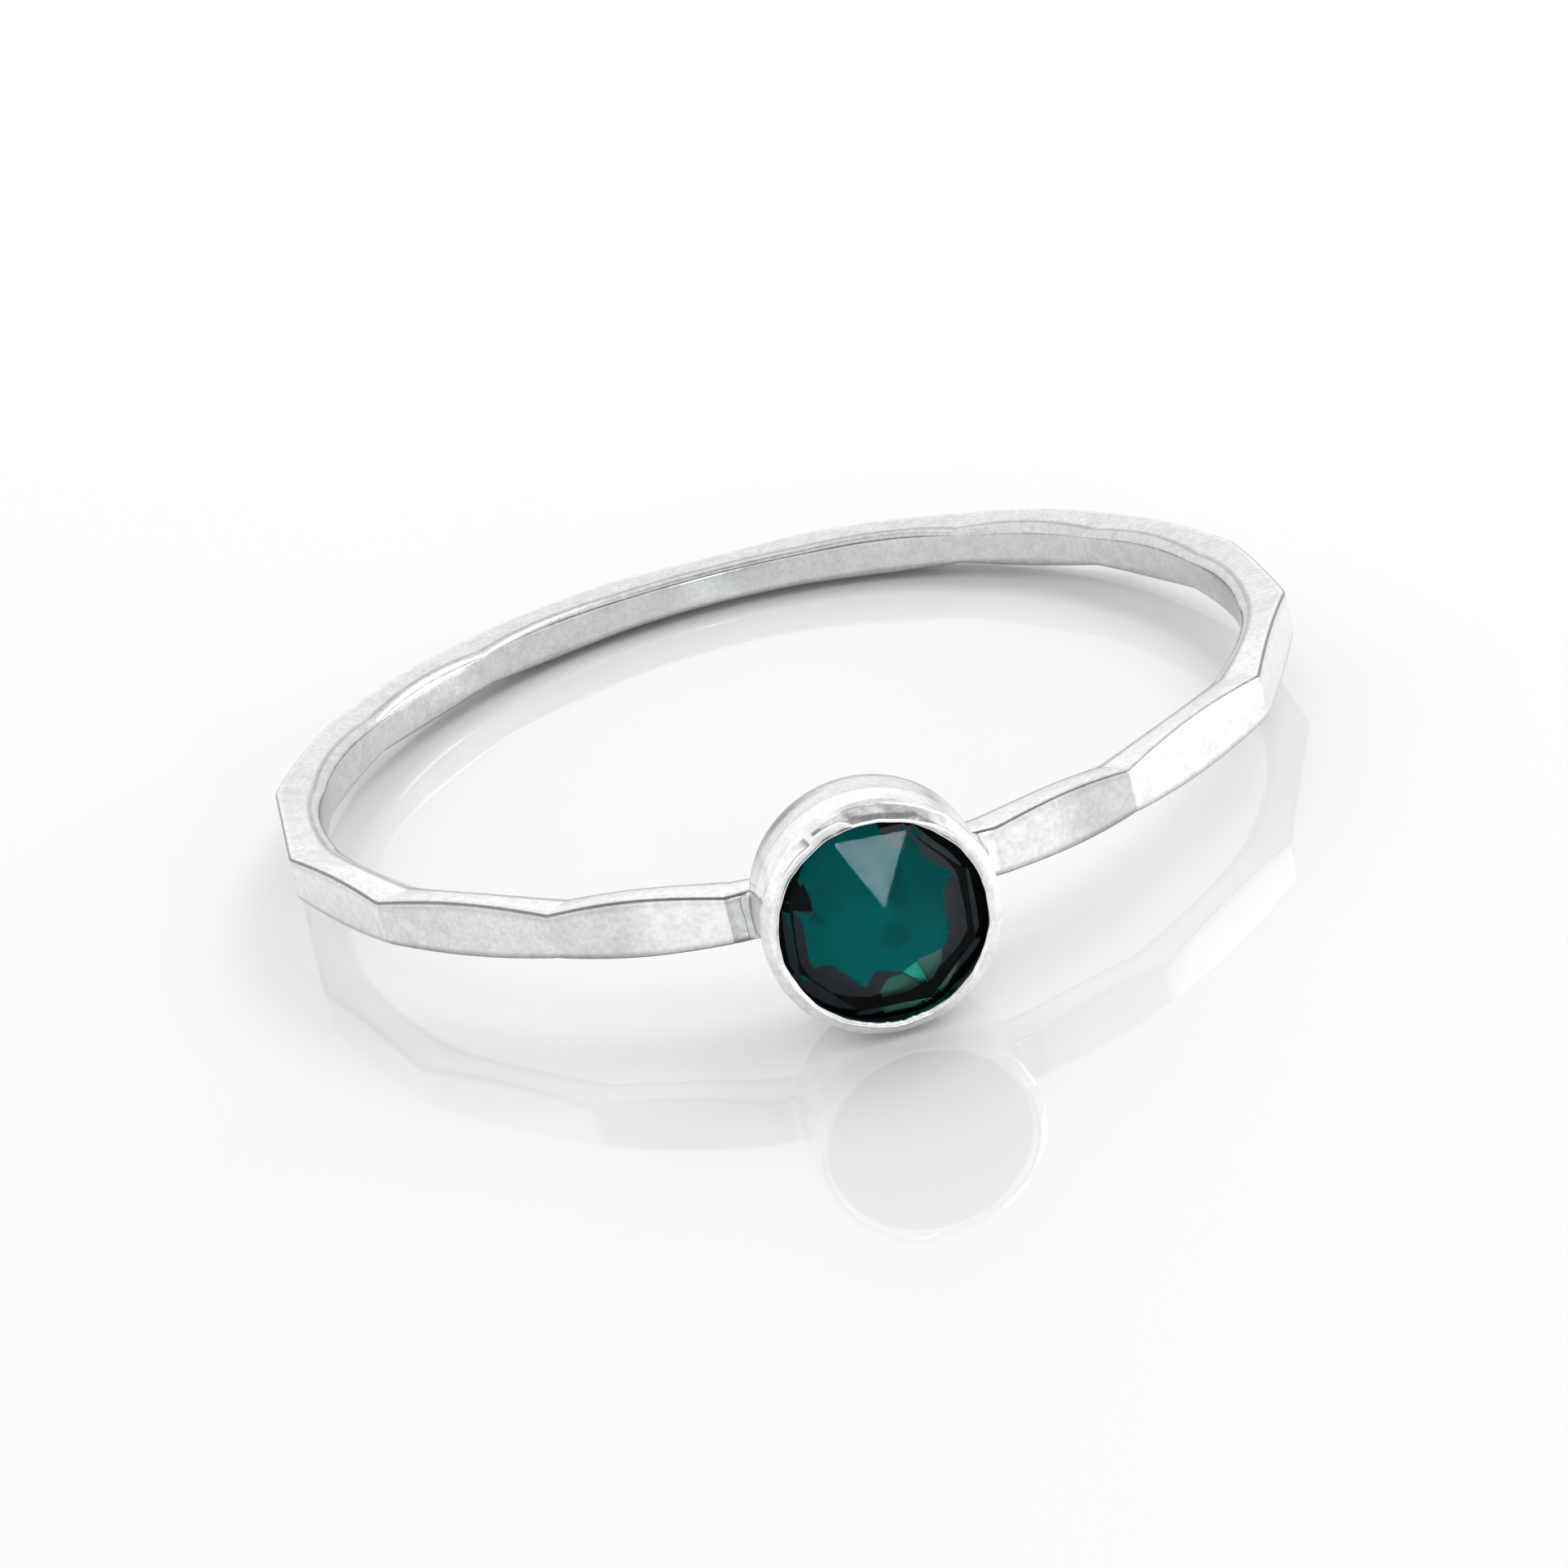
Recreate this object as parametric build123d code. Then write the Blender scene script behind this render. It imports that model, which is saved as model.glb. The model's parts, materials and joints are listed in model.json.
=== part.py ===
from build123d import *
from collections import namedtuple
from math import asin, atan2, cos, degrees, hypot, radians, sin
import os

# A silver stacking ring: a hammered band with a round bezel cup soldered to its front facet, and a
# faceted stone held in the cup. Everything is first made with the bore upright, its middle at the origin
# and the cup towards -Y, and is then tipped to lie as it rests on a table. Millimetres and degrees.

# Bore. It is a US size 7, and its two edges are rounded for comfort.
BORE_R = 17.35 / 2
BORE_STRAIGHT_HALF = 0.24
BORE_EDGE_R = 0.24

# Band. A ridge stands where two hammered facets meet. Its angle is measured from the front towards +X.
# mid_half_width is half the band's height halfway along the facet that follows the ridge: each blow
# thinned the wire and spread it sideways. The front facet is filed flat for the cup, and the back one,
# where the hoop is joined, is dressed level.
Ridge = namedtuple("Ridge", "angle radius half_width corner_r mid_half_width")
RIDGES = [
    Ridge(-168.0, 9.62, 0.46, 0.20, 0.50),
    Ridge(-146.5, 9.64, 0.41, 0.12, 0.51),
    Ridge(-124.0, 9.61, 0.42, 0.12, 0.52),
    Ridge(-101.5, 9.63, 0.41, 0.12, 0.51),
    Ridge(-79.0, 9.62, 0.42, 0.12, 0.50),
    Ridge(-57.2, 9.64, 0.40, 0.12, 0.51),
    Ridge(-33.8, 9.62, 0.41, 0.12, 0.54),
    Ridge(-14.3, 9.69, 0.44, 0.24, 0.46),
    Ridge(14.3, 9.69, 0.44, 0.24, 0.51),
    Ridge(31.3, 9.62, 0.40, 0.12, 0.53),
    Ridge(56.6, 9.64, 0.41, 0.12, 0.52),
    Ridge(82.0, 9.60, 0.42, 0.12, 0.50),
    Ridge(104.5, 9.63, 0.41, 0.12, 0.51),
    Ridge(125.5, 9.61, 0.42, 0.12, 0.52),
    Ridge(147.0, 9.64, 0.41, 0.12, 0.51),
    Ridge(168.0, 9.62, 0.46, 0.20, 0.44),
]
BACK = RIDGES[0]
FRONT = RIDGES[8]
MID_CORNER_R = 0.08  # rounding of the band's outer edges halfway along a facet
BAND_CORE_R = BORE_R - 0.3  # the band is built inwards to here before it is bored

# Bezel cup. Depths are distances from the bore's axis towards -Y.
SOLDER_SINK = 0.05  # the cup is let this far into the front facet by the solder
CUP_BACK = FRONT.radius * cos(radians(FRONT.angle)) - SOLDER_SINK
CUP_R = 2.05
CUP_BACK_R = 2.00  # the wall tapers a little towards the band
CUP_WALL = 0.20
CUP_BASE = 0.30
RIM_FRONT = 11.20
RIM_R = 1.775  # the opening that the rim leaves over the stone
RIM_THICK = 0.16
RIM_DIP = 0.03  # the rim's inner edge is pushed in by this much
SHOULDER_R = 0.18
SOLDER_FILLET_R = 0.12

# Stone: a crystal with a flat back and a low crown of facets. Its axis is the cup's.
GAP = 0.02
STONE_R = CUP_R - CUP_WALL - GAP
STONE_BACK = CUP_BACK + CUP_BASE + GAP
STONE_BACK_R = 1.74
GIRDLE_BACK = 10.50
GIRDLE_FRONT = 10.74  # where the steep edge facets meet the girdle, halfway along each
CROWN_SIDES = 8
CROWN_CORNER_R = 1.64  # corners of the octagon round the crown's main facets
CROWN_EDGE = RIM_FRONT - 0.25
CROWN_DOWN = 0.08  # the octagon's centre is this much below the stone's axis
CROWN_TURN = 26.3  # turn of the octagon about the stone's axis
CROWN_APEX = RIM_FRONT + 0.02
CROWN_APEX_RIGHT, CROWN_APEX_UP = 0.065, 0.245  # the main facets meet off the stone's centre

# Rest. The ring lies on the lower back edge of the cup and on the two lower corners of the back facet.
REST_RUN = CUP_BACK + (BACK.radius - BACK.corner_r) * cos(radians(180 + BACK.angle))
REST_RISE = CUP_BACK_R - (BACK.half_width - BACK.corner_r)
REST_TILT = degrees(atan2(REST_RISE, REST_RUN) - asin(BACK.corner_r / hypot(REST_RISE, REST_RUN)))


def from_front(radius, angle):
    """The point of the bore's middle plane at that radius and angle."""
    return Vector(radius * sin(radians(angle)), -radius * cos(radians(angle)), 0)


def band_section(point, half_width, corner_r):
    """The band's profile in the upright plane through the bore's axis and a point of the outer face."""
    outward = point.normalized()
    plane = Plane(origin=(0, 0, 0), x_dir=outward, z_dir=outward.cross(Vector(0, 0, 1)))
    outer = point.length
    bend = outer - corner_r
    straight = half_width - corner_r
    with BuildSketch(plane) as profile:
        with BuildLine():
            Line((BAND_CORE_R, -half_width), (bend, -half_width))
            RadiusArc((bend, -half_width), (outer, -straight), -corner_r)
            Line((outer, -straight), (outer, straight))
            RadiusArc((outer, straight), (bend, half_width), -corner_r)
            Line((bend, half_width), (BAND_CORE_R, half_width))
            Line((BAND_CORE_R, half_width), (BAND_CORE_R, -half_width))
        make_face()
    return profile.sketch.face()


def make_bore():
    """What the bore takes away: a straight wall that flares at both ends, past the band's two sides."""
    flare_top = BORE_STRAIGHT_HALF + BORE_EDGE_R
    flare_r = BORE_R + BORE_EDGE_R
    past = 2 * flare_top
    with BuildPart() as bore:
        with BuildSketch(Plane.XZ):
            with BuildLine():
                Polyline((flare_r, -flare_top), (flare_r, -past), (0, -past), (0, past), (flare_r, past))
                Line((flare_r, past), (flare_r, flare_top))
                RadiusArc((flare_r, flare_top), (BORE_R, BORE_STRAIGHT_HALF), -BORE_EDGE_R)
                Line((BORE_R, BORE_STRAIGHT_HALF), (BORE_R, -BORE_STRAIGHT_HALF))
                RadiusArc((BORE_R, -BORE_STRAIGHT_HALF), (flare_r, -flare_top), -BORE_EDGE_R)
            make_face()
        revolve(axis=Axis.Z)
    return bore.part


def make_band():
    """Straight lofts from each ridge to the middle of its facet and on to the next ridge, then bored."""
    sections = []
    for ridge, following in zip(RIDGES, RIDGES[1:] + RIDGES[:1]):
        start = from_front(ridge.radius, ridge.angle)
        middle = (start + from_front(following.radius, following.angle)) / 2
        sections.append(band_section(start, ridge.half_width, ridge.corner_r))
        sections.append(band_section(middle, ridge.mid_half_width, MID_CORNER_R))
    lofts = [
        loft([section, following], ruled=True)
        for section, following in zip(sections, sections[1:] + sections[:1])
    ]
    return Part() + lofts - make_bore()


def make_cup():
    """The turned cup: base plate, wall, rounded shoulder, and the rim pushed over the stone."""
    inner_r = CUP_R - CUP_WALL
    rim_edge = CUP_R - SHOULDER_R
    rim_under = RIM_FRONT - RIM_THICK
    with BuildPart() as cup:
        with BuildSketch(Plane.XY):
            with BuildLine():
                Polyline((0, -CUP_BACK), (CUP_BACK_R, -CUP_BACK), (CUP_R, SHOULDER_R - RIM_FRONT))
                RadiusArc((CUP_R, SHOULDER_R - RIM_FRONT), (rim_edge, -RIM_FRONT), SHOULDER_R)
                Polyline((rim_edge, -RIM_FRONT), (RIM_R, RIM_DIP - RIM_FRONT), (RIM_R, -rim_under))
                Polyline((RIM_R, -rim_under), (inner_r, -rim_under), (inner_r, -CUP_BACK - CUP_BASE))
                Polyline((inner_r, -CUP_BACK - CUP_BASE), (0, -CUP_BACK - CUP_BASE), (0, -CUP_BACK))
            make_face()
        revolve(axis=Axis.Y)
    return cup.part


def make_band_with_bezel():
    """The cup soldered to the band, with a fillet of solder above and below the band."""
    joined = make_band() + make_cup()
    seams = [
        edge
        for edge in joined.edges()
        if abs(edge.center().Y + CUP_BACK) < SOLDER_SINK / 2
        and abs(edge.center().Z) < FRONT.half_width
        and abs(edge.center().X) < CUP_R
    ]
    return fillet(seams, SOLDER_FILLET_R)


def crown_corner(number):
    """A corner of the octagon round the crown, counted from the top towards +X."""
    turn = radians(CROWN_TURN + number * 360 / CROWN_SIDES)
    return Vector(CROWN_CORNER_R * sin(turn), -CROWN_EDGE, CROWN_CORNER_R * cos(turn) - CROWN_DOWN)


def cut_facet(stone, first, second, third):
    """The stone, ground away in front of the plane through three points."""
    normal = (second - first).cross(third - first).normalized()
    if normal.Y > 0:
        normal = -normal
    return split(stone, bisect_by=Plane(origin=first, z_dir=normal), keep=Keep.BOTTOM)


def make_stone():
    """A turned blank with a tapered back, then the crown's main facets and the steep ones round it."""
    with BuildPart() as blank:
        with BuildSketch(Plane.XY):
            with BuildLine():
                Polyline(
                    (0, -STONE_BACK),
                    (STONE_BACK_R, -STONE_BACK),
                    (STONE_R, -GIRDLE_BACK),
                    (STONE_R, -CROWN_APEX),
                    (0, -CROWN_APEX),
                    (0, -STONE_BACK),
                )
            make_face()
        revolve(axis=Axis.Y)
    stone = blank.part
    apex = Vector(CROWN_APEX_RIGHT, -CROWN_APEX, CROWN_APEX_UP)
    for number in range(CROWN_SIDES):
        first, second = crown_corner(number), crown_corner(number + 1)
        outward = Vector(first.X + second.X, 0, first.Z + second.Z + 2 * CROWN_DOWN).normalized()
        girdle = outward * STONE_R + Vector(0, -GIRDLE_FRONT, 0)
        stone = cut_facet(stone, first, second, apex)
        stone = cut_facet(stone, first, second, girdle)
    return stone


def lay_down(parts):
    """Tips the parts to their resting pose, with the middle of their box's underside at the origin."""
    tip = Rot(-REST_TILT, 0, 0)
    tipped = {name: tip * solid for name, solid in parts.items()}
    box = Compound(list(tipped.values())).bounding_box()
    seat = Pos(-box.center().X, -box.center().Y, -box.min.Z)
    bore = seat * tip
    print("bore centre", [round(v, 4) for v in bore.position], "rest tilt", round(REST_TILT, 4))
    return {name: seat * solid for name, solid in tipped.items()}


os.makedirs("parts", exist_ok=True)
for name, solid in lay_down({"band_with_bezel": make_band_with_bezel(), "stone": make_stone()}).items():
    box = solid.bounding_box()
    print(name, "volume", round(solid.volume, 3), "valid", solid.is_valid, "box", box.min, box.max)
    export_step(solid, f"parts/{name}.step")
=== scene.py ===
import json
from collections import namedtuple
from math import atan2, cos, degrees, exp, pi, radians, sin, sqrt

import bmesh
import bpy
import numpy as np
from mathutils import Matrix, Vector
from mathutils.geometry import delaunay_2d_cdt


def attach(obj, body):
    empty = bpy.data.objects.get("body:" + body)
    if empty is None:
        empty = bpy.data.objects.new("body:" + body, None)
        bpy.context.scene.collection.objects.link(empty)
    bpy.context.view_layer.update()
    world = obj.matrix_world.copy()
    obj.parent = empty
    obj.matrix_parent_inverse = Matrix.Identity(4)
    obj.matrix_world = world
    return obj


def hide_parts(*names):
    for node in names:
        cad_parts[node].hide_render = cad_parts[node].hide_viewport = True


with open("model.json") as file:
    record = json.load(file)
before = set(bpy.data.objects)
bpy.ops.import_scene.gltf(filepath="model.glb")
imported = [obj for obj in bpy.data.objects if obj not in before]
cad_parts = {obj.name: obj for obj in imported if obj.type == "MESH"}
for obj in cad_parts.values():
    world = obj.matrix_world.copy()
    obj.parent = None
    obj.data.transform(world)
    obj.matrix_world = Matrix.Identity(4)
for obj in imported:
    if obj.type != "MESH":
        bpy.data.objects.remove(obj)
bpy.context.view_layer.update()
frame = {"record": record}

# The ring is made in millimetres with its bore upright, the bore's middle at the origin and the bezel
# towards -Y. WORN_TO_ROW then lays it down where the CAD's bore mount says.
MM = 0.001
mount = frame["record"]["mounts"][0]
TIP = Vector((0, 0, 1)).rotation_difference(Vector(mount["axis"])).to_matrix().to_4x4()
WORN_TO_ROW = Matrix.Translation(Vector(mount["pos_m"])) @ TIP @ Matrix.Scale(MM, 4)

# Bore, as in the CAD.
BORE_R = mount["dims"]["r_mm"]
BORE_STRAIGHT_HALF = 0.24
BORE_ROWS = (0.66, 0.33)  # rows of points on the straight wall, as shares of its half

# Band. A ridge stands where two hammered facets meet; its angle is from the front towards +X.
# half_width is half the band's height at the ridge, and mid_half_width the same halfway along the facet
# that follows. lean tips that facet's face downwards, in radians, and crown bulges it, in 1/mm. The last
# two columns are how far painted shade darkens the facet's colour, from 0 to 1, near this ridge and near
# the next one: painted reflection that gives the facets their different grey and white tones.
Ridge = namedtuple("Ridge", "angle radius half_width mid_half_width lean crown dull dull_far")
RIDGES = [
    Ridge(-168.0, 9.62, 0.45, 0.49, 0.00, 0.03, 0.10, 0.12),
    Ridge(-146.5, 9.64, 0.41, 0.51, -0.02, 0.05, 0.08, 0.10),
    Ridge(-124.0, 9.61, 0.42, 0.52, 0.03, 0.04, 0.14, 0.12),
    Ridge(-101.5, 9.63, 0.41, 0.51, -0.01, 0.05, 0.10, 0.12),
    Ridge(-79.0, 9.62, 0.42, 0.50, 0.03, 0.04, 0.16, 0.14),
    Ridge(-57.2, 9.64, 0.40, 0.51, -0.01, 0.05, 0.27, 0.22),
    Ridge(-33.8, 9.62, 0.41, 0.54, 0.02, 0.04, 0.26, 0.00),
    Ridge(-14.3, 9.69, 0.44, 0.46, 0.00, 0.00, 0.45, 0.06),
    Ridge(14.3, 9.69, 0.44, 0.51, -0.01, 0.04, 0.00, 0.27),
    Ridge(31.3, 9.62, 0.40, 0.53, -0.04, 0.02, 0.00, 0.00),
    Ridge(56.6, 9.64, 0.41, 0.52, -0.02, 0.05, 0.07, 0.09),
    Ridge(82.0, 9.60, 0.42, 0.50, 0.02, 0.04, 0.13, 0.11),
    Ridge(104.5, 9.63, 0.41, 0.51, -0.03, 0.05, 0.09, 0.12),
    Ridge(125.5, 9.61, 0.42, 0.52, 0.02, 0.04, 0.14, 0.12),
    Ridge(147.0, 9.64, 0.41, 0.495, -0.01, 0.05, 0.08, 0.10),
    Ridge(168.0, 9.62, 0.452, 0.44, 0.00, 0.03, 0.12, 0.12),
]
FRONT = RIDGES[8]
RIDGE_SHARPNESS = 60.0  # 1/mm: the larger, the crisper the line where two facets meet
RIDGE_CROWDING = 0.75  # how much closer together the columns of points stand at the ridges
FACET_REACH = 0.5  # cosine of the widest angle from its normal at which a facet's plane counts
NEAR_FACE_R = 9.4  # a radius near the facets, from which distances to them are taken
OUT_OF_REACH = 99.0
SWELL_POWER = 0.9  # how fully the band's height swells between two ridges
SHADE_CHANGE_START, SHADE_CHANGE_RATE = 0.33, 3.0  # where a facet's painted shade changes, and how fast
EDGE_R = 0.06  # rounding between a facet and the band's side
SIDE_DROP = 0.06  # the side slopes down this much from the facets to the bore
SIDE_SAG = 0.012  # and bulges up by this much halfway
BORE_LIP = 0.20  # radial width of the rounding between the band's side and the bore

# How far the band's colour is darkened, from 0 to 1, by painted shade: painted dark reflections as lines
# along its edges, and painted grey on its sides and in its bore.
EDGE_PAINTED_SHADE = 0.95  # in the middle of the rounding between a facet and the side
TOP_LINE_PAINTED_SHADE, TOP_LINE_START = 0.24, 0.7  # along the face's upper edge, from this share of the way to it
LOW_EDGE_PAINTED_SHADE, LOW_LINE_START = 0.40, 0.8  # along its lower edge
SIDE_LINE_PAINTED_SHADE, SIDE_LINE_END = 0.5, 0.2  # on the side, up to this share of the way to the bore
SIDE_PAINTED_SHADES = [  # angle from the front towards +X, and how far painted shade darkens the sides there
    (-180, 0.31), (-95, 0.28), (-65, 0.06), (0, 0.06), (20, 0.15), (60, 0.12), (95, 0.30), (180, 0.31),
]
LIP_PAINTED_SHADE, LIP_SHADE_END = 0.65, 0.15  # where the side meets the bore, to this share of the way round
BORE_PAINTED_SHADE = 0.40

# How far the cup's and the solder's colour is darkened by painted shade: along the seam, in the
# hollows and under the rim, and as painted reflections on the rim's bevel and shoulder.
BACK_PAINTED_SHADE = 0.30
SEAM_PAINTED_SHADE = 0.58  # at the wall's back edge
STREAK_PAINTED_SHADE = 0.68  # added by the painted dark streak of shade beside that seam
BACK_WALL_PAINTED_SHADE = 0.24  # behind the faint line round the wall
LINE_PAINTED_SHADE = 0.30
RIM_PAINTED_SHADE = 0.05
OPENING_PAINTED_SHADE = 0.10
SEAT_PAINTED_SHADE = 1.0
SOLDER_PAINTED_SHADE = 0.35

# Bezel cup. Depths are distances from the bore's axis towards -Y.
FACE_DEPTH = FRONT.radius * cos(radians(FRONT.angle))  # the front facet
CUP_SINK = 0.05  # the cup is let this far into it by the solder
CUP_BACK = FACE_DEPTH - CUP_SINK
CUP_R = 2.05
CUP_BACK_R = 2.00  # the wall tapers a little towards the band
CUP_INNER_R = 1.85
CUP_BASE = 0.30
CUP_BASE_FRONT = CUP_BACK + CUP_BASE
BACK_RINGS = (0.0, 0.5, 1.0, 1.5, 1.85)  # radii of the points on the cup's back
BACK_EDGE_R = 0.04  # rounding of the back's edge
WALL_RINGS = 28  # rings of points up the wall
RIM_FRONT = 11.20
RIM_R = 1.775  # the opening that the rim leaves over the stone
SHOULDER_R = 0.08  # rounding between the wall and the rim's burnished bevel
SHOULDER_GAP = 0.02  # the last of the wall's points is this far from the shoulder's first
RIM_EDGE_R = 0.06  # rounding between the bevel and the rim's front
# The burnished bevel: angle round from the top towards +X, the turn of its normal from the wall's, its
# length, and how far painted shade darkens it and the shoulder behind it.
Bevel = namedtuple("Bevel", "angle turn length dull shoulder_dull")
BEVELS = [
    Bevel(-180, 54, 0.16, 0.12, 0.12),
    Bevel(-120, 54, 0.16, 0.12, 0.12),
    Bevel(-90, 40, 0.16, 0.16, 0.16),
    Bevel(-72, 38, 0.16, 0.16, 0.16),
    Bevel(-58, 38, 0.16, 0.00, 0.00),
    Bevel(-34, 38, 0.16, 0.00, 0.00),
    Bevel(-29, 54, 0.14, 0.05, 0.05),
    Bevel(-25, 54, 0.05, 0.12, 0.12),
    Bevel(-11, 54, 0.05, 0.12, 0.12),
    Bevel(-5, 54, 0.21, 0.14, 0.40),
    Bevel(19, 54, 0.21, 0.14, 0.40),
    Bevel(24, 54, 0.21, 0.12, 0.10),
    Bevel(30, 54, 0.20, 0.10, 0.10),
    Bevel(46, 40, 0.16, 0.00, 0.00),
    Bevel(80, 40, 0.16, 0.00, 0.00),
    Bevel(100, 54, 0.16, 0.00, 0.00),
    Bevel(150, 54, 0.16, 0.05, 0.05),
    Bevel(180, 54, 0.16, 0.12, 0.12),
]
WALL_END = 10.95  # the plain part of the wall ends here
SHOULDER_SHADE_START = 10.81  # and from here on it has the shoulder's painted shade
LINE_DEPTH = CUP_BACK + 0.80  # a faint line round the wall
LINE_HALF = 0.04
SEAM_WIDTH = 0.20  # the wall is dark this far from its back edge
SEAM_FADE = 0.06
SHADE_STREAK_ANGLE, SHADE_STREAK_SPREAD = -36.0, 20.0  # a painted dark streak of shade beside the seam, at the cup's upper left
SHADE_STREAK_DEPTH, SHADE_STREAK_WIDTH = CUP_BACK + 0.24, 0.12
INNER_EDGE = (0.037, 0.01)  # where the rim's front ends: out from the opening, back from the front
OPENING_EDGE_R = 0.03  # rounding of the opening's edge
OPENING_EDGE_BACK = 0.055  # its middle's distance back from the rim's front
UNDER_RIM = [  # out from the opening, back from the rim's front, and how far painted shade darkens it
    (0.005, 0.11, 0.8), (0.02, 0.15, 0.9), (0.05, 0.20, 1.0),
]
SEAT = [  # radius and depth of the cup's inside, down to the middle of its base
    (CUP_INNER_R, 10.88), (CUP_INNER_R, 10.40), (CUP_INNER_R, CUP_BASE_FRONT), (1.2, CUP_BASE_FRONT),
    (0.0, CUP_BASE_FRONT),
]
RIM_NICKS = [  # angle round from the top towards +X, and how far the nick stands in
    (171, 0.012), (175.5, 0.024), (178, 0.010), (183, 0.022), (185.5, 0.012), (190, 0.016), (199, 0.010),
]
NICK_WIDTH = 0.9  # degrees
RIM_DOWN = 0.04  # the opening is this much below the cup's axis
# The nicks and that shift reach the cup's points in front of this depth and inside this radius, and fade
# in over a short width.
OPENING_DEPTH, OPENING_OUTER_R, OPENING_FADE = 11.0, 1.90, 0.08
BURNISH_WAVES = [  # small flats: waves round the cup, slope in depth, phase, size
    (9, 11.0, 0.3, 0.0060), (14, -17.0, 1.9, 0.0050), (23, 9.0, 4.0, 0.0035), (37, -31.0, 2.2, 0.0018),
]
BURNISH_START, BURNISH_FADE = 10.70, 0.30  # they begin at this depth and grow over this length
BURNISH_INNER_R = 1.76  # and stay outside this radius
SOLDER_LEG = 0.15
SOLDER_END_LEG = 0.3  # share of the leg that is left at the fillet's two ends
SOLDER_HALF = 0.43
SOLDER_SQUARENESS = 12  # the larger, the nearer its ends the fillet narrows
SOLDER_SINK = 0.06  # the fillet's inner edge is this far inside the cup and the band
SOLDER_WAVES, SOLDER_WAVE = 9.0, 0.12  # unevenness of the leg: radians for each mm, and size
SOLDER_STEPS, SOLDER_ROWS = 8, 25  # points across the fillet's face, and rows up it

# Stone, on the cup's axis.
GAP = 0.02  # between the stone and its seat
STONE_R = CUP_INNER_R - GAP
STONE_BACK = CUP_BASE_FRONT + GAP
STONE_BACK_R = 1.74
GIRDLE_BACK = 10.50
GIRDLE_FRONT = 10.74  # where the steep edge facets meet the girdle, halfway along each
CROWN_SIDES = 8
CROWN_CORNER_R = 1.64  # corners of the octagon round the crown's main facets
CROWN_EDGE = RIM_FRONT - 0.25
CROWN_DOWN = 0.08  # the octagon's centre is this much below the stone's axis
CROWN_TURN = 26.3  # turn of the octagon about the stone's axis
CROWN_APEX = Vector((0.065, -(RIM_FRONT + 0.02), 0.245))  # the main facets meet off the centre
BACK_SIDES = 16  # facets of the tapered back
BLANK_MARGIN = 0.05  # the turned blank is this much longer than the stone at each end
GRIND_TOLERANCE, OUTLINE_TOLERANCE = 1e-6, 1e-5  # points closer than these to a cut or to each other join
FRONT_FACING = -0.15  # a face whose normal's y is above this is the girdle's or lies behind it

# Mirror foil on the stone's flat back, which shows through the crown as a star, and the patches where
# it is darkened by painted shade, lit by a painted green glint, worn or dim. Corners are right and up
# from the stone's axis. Outside the star the foil has flaked off, and the dark backing shows. Where
# outlines overlap, the last one counts, and outside all of them is a painted black shadow, as on the
# girdle and the tapered back.
CRYSTAL, BACKING, PAINTED_SHADOW, FOIL, SHADED_FOIL, GLINT_FOIL, WORN, DIM = range(8)
FOIL_OUTLINES = [
    (BACKING, [
        (0.30, 0.99), (0.78, 0.97), (1.03, 0.62), (1.25, 0.36), (1.40, 0.09), (1.40, -0.60),
        (1.37, -0.92), (1.22, -1.10), (1.00, -1.27), (0.72, -1.44), (0.45, -1.56), (-0.10, -1.57),
        (-0.42, -1.60), (-0.69, -1.53), (-0.97, -1.38), (-1.26, -1.05), (-1.35, -0.80), (-1.345, -0.50),
        (-1.32, -0.15), (-1.28, 0.17), (-0.95, 0.08), (-0.40, 0.40),
    ]),
    (FOIL, [
        (0.33, 1.10), (0.36, 0.91), (0.44, 0.84), (0.55, 0.68), (0.61, 0.67), (0.72, 0.92),
        (0.79, 0.87), (0.89, 0.54), (1.05, 0.32), (1.33, 0.08), (1.09, -0.11), (1.08, -0.30),
        (1.05, -0.60), (1.08, -0.88), (0.92, -1.08), (0.47, -1.18), (0.23, -1.34), (0.00, -1.21),
        (-0.24, -1.17), (-0.44, -1.41), (-0.69, -1.11), (-0.90, -0.87), (-1.20, -0.86), (-1.17, -0.05),
        (-1.26, 0.18), (-0.75, -0.14), (-0.95, 0.08), (-0.97, 0.29), (-1.02, 0.50), (-0.84, 0.80),
        (-0.72, 1.12),
    ]),
    # painted shade: darker patches of the star
    (SHADED_FOIL, [(0.55, 0.62), (0.50, -0.12), (0.39, -0.26), (0.14, -0.12)]),
    (SHADED_FOIL, [(0.11, -0.32), (0.32, -0.41), (0.44, -0.73), (0.19, -0.92), (-0.09, -0.74)]),
    (SHADED_FOIL, [(-0.93, 0.08), (-0.72, -0.15), (-0.78, -0.27), (-1.07, -0.05)]),
    # a painted green glint on the foil
    (GLINT_FOIL, [(0.23, -1.30), (0.44, -1.19), (0.57, -1.63)]),
    (WORN, [(0.46, -1.16), (0.90, -1.09), (0.86, -1.32), (0.66, -1.56), (0.58, -1.60)]),
    (DIM, [(-0.05, -1.35), (0.22, -1.34), (0.48, -1.60), (0.28, -1.68), (-0.20, -1.67), (-0.22, -1.55)]),
]


# ---------------------------------------------------------------- meshes

def add_mesh(name, points, faces, dull):
    """A smooth mesh object from points in the frame the ring is made in, laid down in the row frame. The
    last argument says for each point how far its colour is darkened there by painted shade and painted
    reflection, from 0 to 1."""
    mesh = bpy.data.meshes.new(name)
    mesh.from_pydata([tuple(p) for p in points], [], faces)
    mesh.transform(WORN_TO_ROW)
    mesh.attributes.new("dull", "FLOAT", "POINT").data.foreach_set("value", np.ravel(dull))
    obj = bpy.data.objects.new(name, mesh)
    bpy.context.scene.collection.objects.link(obj)
    mesh.polygons.foreach_set("use_smooth", [True] * len(mesh.polygons))
    return obj


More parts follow.
